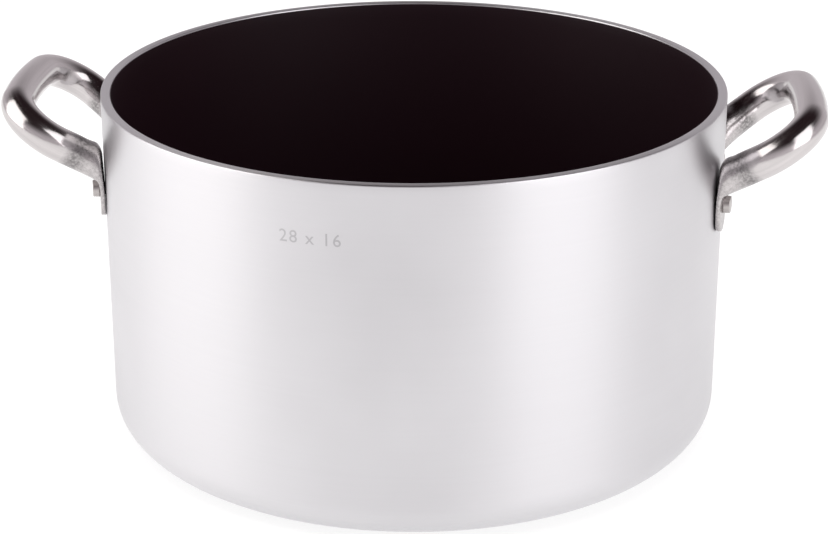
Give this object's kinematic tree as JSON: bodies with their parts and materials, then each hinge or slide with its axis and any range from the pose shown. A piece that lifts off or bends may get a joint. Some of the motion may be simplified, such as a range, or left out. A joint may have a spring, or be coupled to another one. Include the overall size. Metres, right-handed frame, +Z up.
{
  "type": "stock pot",
  "caption": "Wide round straight-walled cooking pot with a rounded base edge, dark non-stick inside and a riveted tube loop handle on either side.",
  "frame": {"origin": "centre of the flat underside of the pot", "axes": "+Z up along the pot's axis; the two handles stand out along +X and -X; front is -Y"},
  "size_m": [0.3786, 0.288, 0.166],
  "materials": {
    "spun_aluminium": "satin, turned",
    "nonstick_coating": "low-sheen dark coating",
    "polished_steel": "polished with a fine grain along the tube",
    "rivet_metal": "plain, as headed"
  },
  "bodies": {
    "root": {"pot_body": "spun_aluminium", "nonstick_lining": "nonstick_coating", "left_handle": "polished_steel", "right_handle": "polished_steel", "rivet_left_front": "rivet_metal", "rivet_left_rear": "rivet_metal", "rivet_right_front": "rivet_metal", "rivet_right_rear": "rivet_metal"}
  },
  "joints": []
}
